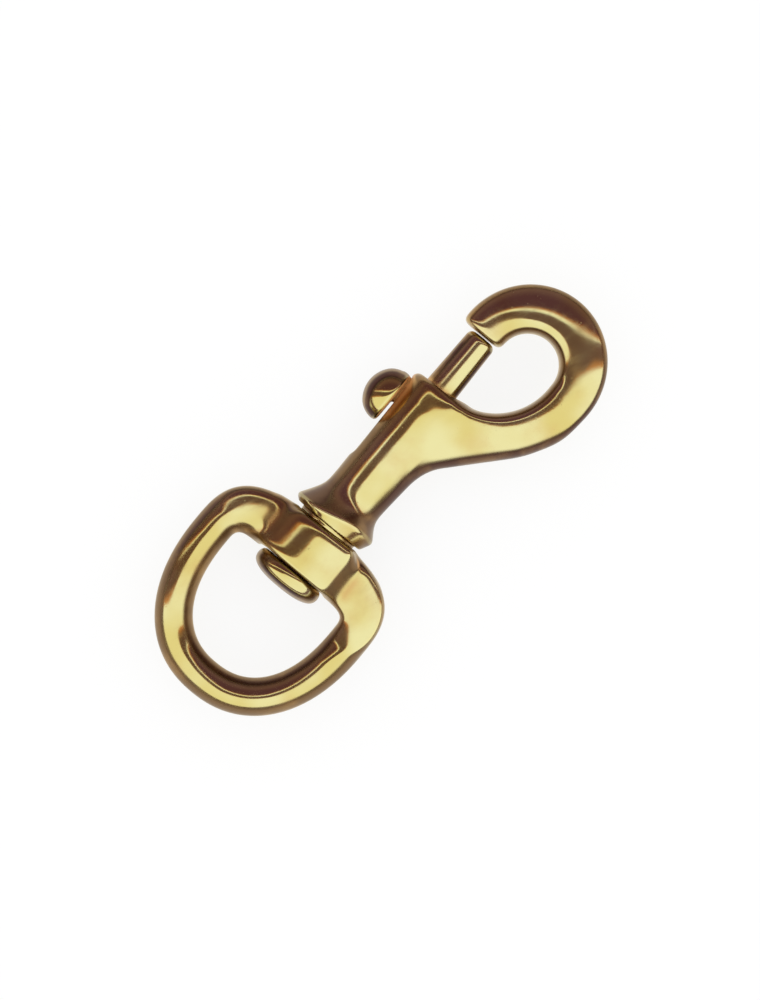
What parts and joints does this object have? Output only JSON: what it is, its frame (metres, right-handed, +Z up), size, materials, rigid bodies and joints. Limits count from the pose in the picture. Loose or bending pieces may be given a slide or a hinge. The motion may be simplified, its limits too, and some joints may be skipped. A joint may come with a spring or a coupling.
{
  "type": "snap hook",
  "caption": "Cast brass bolt snap with a sprung sliding bolt that closes a round hook, and an egg-shaped strap eye that swivels on a headed pin.",
  "frame": {"origin": "bottom centre of the part's box, with the hook lying on its side", "axes": "+X along the bolt from the eye to the hook, +Y to the thumb knob's side, +Z up through the hook's side"},
  "size_m": [0.0756, 0.0328, 0.0123],
  "materials": {
    "cast_brass": "cast and polished by tumbling",
    "turned_brass": "turned and polished",
    "spring_steel": "drawn wire, lightly oiled"
  },
  "bodies": {
    "hook": {"hook_body": "cast_brass", "swivel_pin": "turned_brass", "bolt_spring": "spring_steel"},
    "bolt": {"bolt": "turned_brass", "thumb_knob": "turned_brass"},
    "eye": {"swivel_eye": "cast_brass"}
  },
  "joints": [
    {"name": "bolt_slide", "type": "slide", "parent": "hook", "child": "bolt", "axis": [-1, 0, 0], "range_m": [0, 0.009], "stiffness_N_per_m": 640, "springref_m": -0.003, "deforming": ["bolt_spring"]},
    {"name": "eye_swivel", "type": "hinge", "parent": "hook", "child": "eye", "pos_m": [-0.01227, 0.00153, 0.00615], "axis": [1, 0, 0], "continuous": true}
  ]
}
